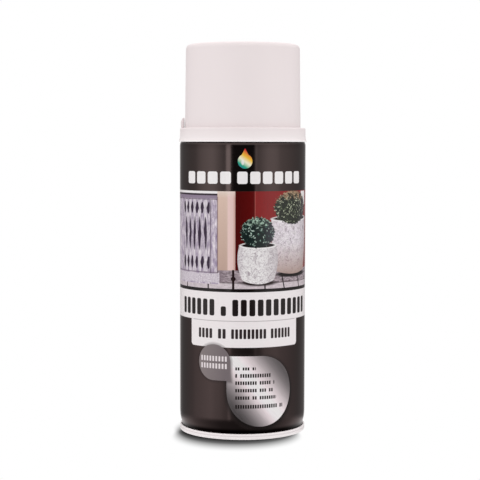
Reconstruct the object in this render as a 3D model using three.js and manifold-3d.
// Aerosol paint can, 400 ml class: a 65 mm necked-in three-piece tinplate can with a
// 1 inch valve, a spray button and a stepped push-on overcap.
// Millimetres, +Z up. The origin is the centre of the can's foot, on the surface it stands on.
// The nozzle points along -Y, and the overcap's lever lug stands on the -X side.
import * as THREE from "three";
import { mergeVertices } from "three/addons/utils/BufferGeometryUtils.js";
import Module from "manifold-3d";

const wasm = await Module();
wasm.setup();

// ---- driving dimensions ----
const BODY_R = 32.5; // outer radius of the can body
const TIN = 0.25; // tinplate wall
const CUP_TIN = 0.3; // wall of the valve mounting cup
const NECK_TOP_Z = 147.6; // where the upper neck-in starts
const TOP_SEAM_R = 30.95; // outer radius of the upper double seam
const TOP_SEAM_Z = 155.1; // its upper face
const BASE_SEAM_R = 32.45; // outer radius of the lower double seam
const SEAM_LAYER = 0.33; // pitch of the five layers in a double seam
const DOME_RISE_Z = 11.5; // height of the concave base at its centre
const CURL_TOP_Z = 167.1; // centreline of the top of the 1 inch curl
const CAP_TOP_Z = 199.0; // overall height
const CAP_SKIRT_R = 32.45; // overcap skirt, flush with the body
const CAP_LIP_R = 33.0; // flared lip at the skirt's lower edge
const CAP_LIP_Z = 149.3;
const CAP_SHOULDER_Z = 156.4;
const CAP_WALL_R0 = 29.8; // upper wall of the overcap at the shoulder
const CAP_WALL_R1 = 29.3; // and at the top, after the mould draft
const CAP_WALL = 1.2;
const CAP_RIBS = 6;
const STEM_R = 1.95;
const STEM_TOP_Z = 175.0;
const STEM_TRAVEL = 1.4; // stroke of stem and button
const GASKET_Z = 165.0; // underside of the stem gasket
const HOUSING_FLOOR_Z = 152.5; // spring seat in the valve housing
const BUTTON_R = 7.4;
const BUTTON_Z = 168.4;
const NOZZLE_Z = 179.6;
const BALL_R = 4.5;
const BALL_ORBIT = 27.45; // distance of the resting balls from the axis
const BALL_Z = 10.7;
const LARGE = 32; // segments round the can, its ends and the cup
const SMALL = 18; // segments round the valve's inner parts

// ---- helpers ----

// The closed outline of a sheet of thickness t that follows a centreline of [r, z] points.
function strip(path, t) {
  const left = [];
  const right = [];
  path.forEach(([r, z], i) => {
    const before = path[Math.max(i - 1, 0)];
    const after = path[Math.min(i + 1, path.length - 1)];
    const unit = (a, b) => {
      const l = Math.hypot(b[0] - a[0], b[1] - a[1]) || 1;
      return [(b[0] - a[0]) / l, (b[1] - a[1]) / l];
    };
    const d0 = i === 0 ? unit(path[0], after) : unit(before, path[i]);
    const d1 = i === path.length - 1 ? unit(before, path[i]) : unit(path[i], after);
    const n0 = [-d0[1], d0[0]];
    const n1 = [-d1[1], d1[0]];
    const ml = Math.hypot(n0[0] + n1[0], n0[1] + n1[1]);
    const m = [(n0[0] + n1[0]) / ml, (n0[1] + n1[1]) / ml];
    const k = t / 2 / (m[0] * n1[0] + m[1] * n1[1]);
    left.push([r === 0 ? 0 : r + m[0] * k, z + m[1] * k]);
    right.push([r === 0 ? 0 : r - m[0] * k, z - m[1] * k]);
  });
  return left.concat(right.reverse());
}

// A solid of revolution about Z from a closed outline of [r, z] points, in either order.
function lathe(outline, segments) {
  let area = 0;
  outline.forEach(([r, z], i) => {
    const [r2, z2] = outline[(i + 1) % outline.length];
    area += r * z2 - r2 * z;
  });
  let pts = area > 0 ? outline : outline.slice().reverse();
  // start at the end of the run on the axis, if the outline touches it
  const onAxis = (p) => Math.abs(p[0]) < 1e-6;
  if (pts.some(onAxis)) {
    const i = pts.findIndex((p, k) => onAxis(p) && !onAxis(pts[(k + 1) % pts.length]));
    pts = pts.slice(i).concat(pts.slice(0, i));
  } else pts = pts.concat([pts[0]]);
  const g = new THREE.LatheGeometry(
    pts.map(([r, z]) => new THREE.Vector2(r, z)),
    segments,
  );
  g.rotateX(Math.PI / 2);
  return g;
}

// A closed geometry as a manifold-3d solid, and back.
function toSolid(geometry) {
  const bare = geometry.clone();
  bare.deleteAttribute("normal");
  bare.deleteAttribute("uv");
  const merged = mergeVertices(bare, 1e-4);
  const index = merged.index.array;
  const tris = [];
  for (let i = 0; i < index.length; i += 3) {
    const [a, b, c] = [index[i], index[i + 1], index[i + 2]];
    if (a !== b && b !== c && a !== c) tris.push(a, b, c);
  }
  return new wasm.Manifold(
    new wasm.Mesh({
      numProp: 3,
      vertProperties: merged.attributes.position.array,
      triVerts: new Uint32Array(tris),
    }),
  );
}

function toGeometry(solid) {
  const mesh = solid.getMesh();
  const g = new THREE.BufferGeometry();
  g.setAttribute("position", new THREE.BufferAttribute(new Float32Array(mesh.vertProperties), 3));
  g.setIndex(new THREE.BufferAttribute(new Uint32Array(mesh.triVerts), 1));
  g.computeVertexNormals();
  return g;
}

// A plain cylinder along Z or along Y, as a solid for cutting.
function rod(radius, length, segments, centre, alongY = false) {
  const g = new THREE.CylinderGeometry(radius, radius, length, segments);
  if (!alongY) g.rotateX(Math.PI / 2);
  g.translate(...centre);
  return toSolid(g);
}

function block(size, centre, turn = 0) {
  const g = new THREE.BoxGeometry(...size);
  g.translate(...centre);
  g.rotateZ(turn);
  return toSolid(g);
}

const arc = (cr, cz, radius, from, to, n) =>
  Array.from({ length: n + 1 }, (_, i) => {
    const a = ((from + ((to - from) * i) / n) * Math.PI) / 180;
    return [cr + radius * Math.cos(a), cz + radius * Math.sin(a)];
  });

const can = new THREE.Group();
const finish = (color, roughness, metalness = 0) =>
  new THREE.MeshStandardMaterial({ color, roughness, metalness });
const PRINTED = finish(0x3a3130, 0.32, 0.2);
const TINPLATE = finish(0xd8d5d2, 0.28, 0.9);
const CAP_WHITE = finish(0xe8e0e0, 0.45);
const BUTTON_WHITE = finish(0xf0eeec, 0.4);
const INSERT_GREY = finish(0x3c4045, 0.4);
const NATURAL = finish(0xe6e4dc, 0.5);
const CLEAR_PE = finish(0xe9ece9, 0.35);
const RUBBER = finish(0x202022, 0.8);
const COMPOUND = finish(0x9a9486, 0.8);
const STEEL = finish(0xb8babd, 0.2, 1);

function node(name, geometry, material, parent = can) {
  const mesh = new THREE.Mesh(geometry, material);
  mesh.name = name;
  parent.add(mesh);
  return mesh;
}

// ---- can body: one rolled and welded sheet, necked in and hooked at both ends ----
const topLayer = (k) => TOP_SEAM_R - TIN / 2 - SEAM_LAYER * k; // centrelines, 0 outermost
const baseLayer = (k) => BASE_SEAM_R - TIN / 2 - SEAM_LAYER * k;
const bodyMid = BODY_R - TIN / 2;
const bodyPath = [
  [baseLayer(1), 2.15],
  [baseLayer(1), 0.85],
  [baseLayer(3), 0.85],
  [baseLayer(3), 3.6],
  [31.5, 4.6],
  [32.1, 6.6],
  [bodyMid, 9.4],
  [bodyMid, NECK_TOP_Z],
  [32.1, NECK_TOP_Z + 1.25],
  [31.4, NECK_TOP_Z + 2.2],
  [30.3, NECK_TOP_Z + 3.1],
  [topLayer(3), NECK_TOP_Z + 4.2],
  [topLayer(3), TOP_SEAM_Z - 0.85],
  [topLayer(1), TOP_SEAM_Z - 0.85],
  [topLayer(1), TOP_SEAM_Z - 2.35],
];
node("can_body", lathe(strip(bodyPath, TIN), LARGE), PRINTED);

// ---- base end: concave pressure dome with the cover side of the double seam ----
const domeZ = (r) => DOME_RISE_Z - 6.9 * (r / 29.8) ** 2;
const baseOutline = strip(
  [
    [baseLayer(2), 1.25],
    [baseLayer(2), 2.775],
    [baseLayer(0), 2.775],
    [baseLayer(0), 0.5],
    [baseLayer(0) - 0.3, 0.125],
    [baseLayer(4), 0.125],
    [baseLayer(4), 3.75],
    [30.65, 4.42],
    ...[29.8, 24.5, 18, 10, 0].map((r) => [r, domeZ(r)]),
  ],
  TIN,
);
node("base_end", lathe(baseOutline, LARGE), TINPLATE);

// ---- top dome: cover side of the upper seam, countersink, cone and 1 inch curl ----
const domePath = [
  [topLayer(2), TOP_SEAM_Z - 1.35],
  [topLayer(2), TOP_SEAM_Z - 2.875],
  [topLayer(0), TOP_SEAM_Z - 2.875],
  [topLayer(0), TOP_SEAM_Z - 0.5],
  [topLayer(0) - 0.3, TOP_SEAM_Z - 0.125],
  [topLayer(4), TOP_SEAM_Z - 0.125],
  [topLayer(4), 152.4],
  [28.6, 151.45],
  [27.4, 152.0],
  [24.0, 155.4],
  [18.4, 160.05],
  [13.9, 162.7],
  [13.0, 163.5],
  [12.9, 165.6],
  [13.35, 166.65],
  [14.25, CURL_TOP_Z],
  [15.1, 166.7],
  [15.5, 165.75],
  [15.1, 164.6],
];
node("top_dome", lathe(strip(domePath, TIN), LARGE), TINPLATE);

// ---- lining compound that seals each double seam ----
const ring = (r0, r1, z0, z1, segments) =>
  lathe(
    [
      [r0, z0],
      [r1, z0],
      [r1, z1],
      [r0, z1],
    ],
    segments,
  );
node(
  "base_seam_compound",
  ring(baseLayer(3) + 0.1, baseLayer(1) - 0.1, 0.34, 0.64, LARGE),
  COMPOUND,
);
node(
  "top_seam_compound",
  ring(topLayer(3) + 0.1, topLayer(1) - 0.1, TOP_SEAM_Z - 0.64, TOP_SEAM_Z - 0.34, LARGE),
  COMPOUND,
);

// ---- valve mounting cup, clinched over the curl and round the valve housing ----
const cupPath = [
  [15.98, 165.1],
  [15.98, 166.6],
  [15.4, 167.65],
  [14.25, 168.0],
  [12.95, 167.6],
  [12.35, 166.6],
  [12.3, 163.6],
  [12.65, 162.4],
  [12.2, 161.1],
  [11.2, 160.4],
  [7.7, 160.4],
  [6.5, 161.7],
  [6.65, 163.3],
  [6.65, 164.9],
  [6.2, 165.9],
  [5.2, 166.3],
  [2.45, 166.3],
];
node("valve_cup", lathe(strip(cupPath, CUP_TIN), LARGE), TINPLATE);
const cupGasket = [
  [13.3, 167.2],
  [14.25, 167.55],
  [15.2, 167.2],
];
node("cup_gasket", lathe(strip(cupGasket, 0.25), LARGE), RUBBER);

// ---- valve: gasket, stem, spring, housing, dip tube ----
node("stem_gasket", ring(2.07, 5.0, GASKET_Z, 166.06, SMALL), RUBBER);

const stemSolid = toSolid(
  lathe(
    [
      [0, 157.5],
      [1.3, 157.5],
      [1.3, 162.9],
      [2.75, 162.9],
      [2.75, 164.85],
      [STEM_R, 164.85],
      [STEM_R, STEM_TOP_Z - 0.4],
      [STEM_R - 0.3, STEM_TOP_Z],
      [0, STEM_TOP_Z],
    ],
    SMALL,
  ),
)
  .subtract(rod(0.9, 10.2, 12, [0, 0, STEM_TOP_Z - 4.6]))
  .subtract(rod(0.3, 3, 8, [0, -1.5, 165.5], true));
node("valve_stem", toGeometry(stemSolid), BUTTON_WHITE);

class Helix extends THREE.Curve {
  constructor(radius, z0, z1, turns) {
    super();
    Object.assign(this, { radius, z0, z1, turns });
  }
  getPoint(t, target = new THREE.Vector3()) {
    const a = 2 * Math.PI * this.turns * t;
    return target.set(
      this.radius * Math.cos(a),
      this.radius * Math.sin(a),
      this.z0 + (this.z1 - this.z0) * t,
    );
  }
}
const WIRE_R = 0.3;
const wire = new THREE.Shape(
  Array.from(
    { length: 5 },
    (_, i) =>
      new THREE.Vector2(WIRE_R * Math.cos(i * 0.4 * Math.PI), WIRE_R * Math.sin(i * 0.4 * Math.PI)),
  ),
);
node(
  "valve_spring",
  new THREE.ExtrudeGeometry(wire, {
    steps: 60,
    bevelEnabled: false,
    extrudePath: new Helix(2.2, HOUSING_FLOOR_Z + 0.4, 162.5, 6),
  }),
  STEEL,
);

node(
  "valve_housing",
  lathe(
    [
      [3.05, 164.85],
      [6.2, 164.85],
      [6.2, 163.0],
      [5.65, 162.3],
      [5.65, 160.2],
      [4.7, 159.4],
      [4.7, 150.9],
      [4.0, 150.2],
      [2.2, 150.2],
      [2.2, 143.6],
      [1.9, 143.0],
      [1.1, 143.0],
      [1.1, HOUSING_FLOOR_Z],
      [3.05, HOUSING_FLOOR_Z],
    ],
    SMALL,
  ),
  NATURAL,
);

// The dip tube hangs from the housing's tail and bends out to the gutter round the base dome.
const tubeLine = new THREE.CatmullRomCurve3(
  [
    [0, 149.9],
    [0, 142],
    [0, 128],
    [0.5, 110],
    [2.2, 88],
    [5.6, 65],
    [10.8, 43],
    [17.4, 24.5],
    [24.0, 11.6],
  ].map(([x, z]) => new THREE.Vector3(x, 0, z)),
  false,
  "centripetal",
);
const polygon = (radius, n) =>
  Array.from(
    { length: n },
    (_, i) =>
      new THREE.Vector2(
        radius * Math.cos(((i + 0.5) * 2 * Math.PI) / n),
        radius * Math.sin(((i + 0.5) * 2 * Math.PI) / n),
      ),
  );
const tubeSection = new THREE.Shape(polygon(3.1, 10));
tubeSection.holes.push(new THREE.Path(polygon(2.42, 10).reverse()));
node(
  "dip_tube",
  new THREE.ExtrudeGeometry(tubeSection, {
    steps: 14,
    bevelEnabled: false,
    extrudePath: tubeLine,
  }),
  CLEAR_PE,
);

// ---- spray button with its nozzle insert, pushed onto the stem ----
const buttonSolid = toSolid(
  lathe(
    [
      [2.12, 170.0],
      [3.7, 170.0],
      [3.7, 174.4],
      [6.2, 174.4],
      [6.2, BUTTON_Z],
      [BUTTON_R, BUTTON_Z],
      [BUTTON_R, 176.5],
      [7.1, 181.5],
      [6.75, 184.5],
      [6.2, 185.1],
      [5.6, 185.0],
      [3.6, 184.2],
      [0, 183.8],
      [0, STEM_TOP_Z + 0.15],
      [2.12, STEM_TOP_Z + 0.15],
    ],
    SMALL,
  ),
)
  .subtract(block([16, 4, 8.2], [0, -8.35, 179.3])) // flat front face round the nozzle
  .subtract(rod(2.62, 3.2, SMALL, [0, -5.4, NOZZLE_Z], true)) // pocket of the insert
  .subtract(rod(0.8, 5, 12, [0, -2.3, NOZZLE_Z], true)) // passage to the pocket
  .subtract(rod(0.8, 5.4, 12, [0, 0, 177.4])); // passage up from the stem
node("spray_button", toGeometry(buttonSolid), BUTTON_WHITE);

const insert = lathe(
  [
    [1.5, 0],
    [2.45, 0],
    [2.45, 2.3],
    [2.2, 2.6],
    [1.3, 2.6],
    [0.25, 2.15],
    [0.25, 1.5],
    [1.5, 1.3],
  ],
  SMALL,
);
insert.rotateX(Math.PI / 2); // its front now faces -Y
insert.translate(0, -3.95, NOZZLE_Z);
node("nozzle_insert", insert, INSERT_GREY);

// ---- two mixing balls in the gutter round the base dome ----
[120, 240].forEach((degrees, i) => {
  const a = (degrees * Math.PI) / 180;
  const ball = node(`mixing_ball_${i + 1}`, new THREE.SphereGeometry(BALL_R, 14, 9), STEEL);
  ball.position.set(BALL_ORBIT * Math.cos(a), BALL_ORBIT * Math.sin(a), BALL_Z);
});

// ---- overcap: one moulding, with a snap bead, inner ribs and a lever lug ----
const shell = toSolid(
  lathe(
    [
      [32.3, CAP_LIP_Z],
      [CAP_LIP_R, CAP_LIP_Z],
      [CAP_LIP_R, CAP_LIP_Z + 0.6],
      [32.6, CAP_LIP_Z + 1.5],
      [CAP_SKIRT_R, CAP_LIP_Z + 2.4],
      [CAP_SKIRT_R - 0.1, CAP_SHOULDER_Z - 0.5],
      [CAP_SKIRT_R - 0.5, CAP_SHOULDER_Z],
      [CAP_WALL_R0, CAP_SHOULDER_Z],
      [CAP_WALL_R1, CAP_TOP_Z - 2],
      [CAP_WALL_R1 - 0.55, CAP_TOP_Z - 0.6],
      [CAP_WALL_R1 - 1.9, CAP_TOP_Z],
      [0, CAP_TOP_Z],
      [0, CAP_TOP_Z - CAP_WALL],
      [CAP_WALL_R1 - 2, CAP_TOP_Z - CAP_WALL],
      [CAP_WALL_R1 - CAP_WALL, CAP_TOP_Z - CAP_WALL - 0.8],
      [CAP_WALL_R0 - CAP_WALL, CAP_SHOULDER_Z - 1.05],
      [31.3, CAP_SHOULDER_Z - 1.05],
      [31.3, 152.0],
      [31.06, 151.7],
      [31.06, 151.3],
      [31.3, 151.0],
      [31.75, 150.2],
    ],
    LARGE,
  ),
);
const ribs = Array.from({ length: CAP_RIBS }, (_, i) =>
  block([1.3, 1.0, 38], [28.35, 0, 178], ((i + 0.5) * 2 * Math.PI) / CAP_RIBS),
);
const lug = toSolid(
  lathe(
    [
      [30.6, CAP_SHOULDER_Z - 0.4],
      [31.7, CAP_SHOULDER_Z - 0.4],
      [31.7, CAP_SHOULDER_Z],
      [32.0, CAP_SHOULDER_Z + 0.4],
      [32.0, CAP_SHOULDER_Z + 3.4],
      [30.9, CAP_SHOULDER_Z + 5.2],
      [30.6, CAP_SHOULDER_Z + 5.2],
    ],
    LARGE,
  ),
).intersect(block([12, 9.5, 20], [-31, 0, CAP_SHOULDER_Z]));
const cap = [...ribs, lug].reduce((all, piece) => all.add(piece), shell);
node("overcap", toGeometry(cap), CAP_WHITE);

export default can;
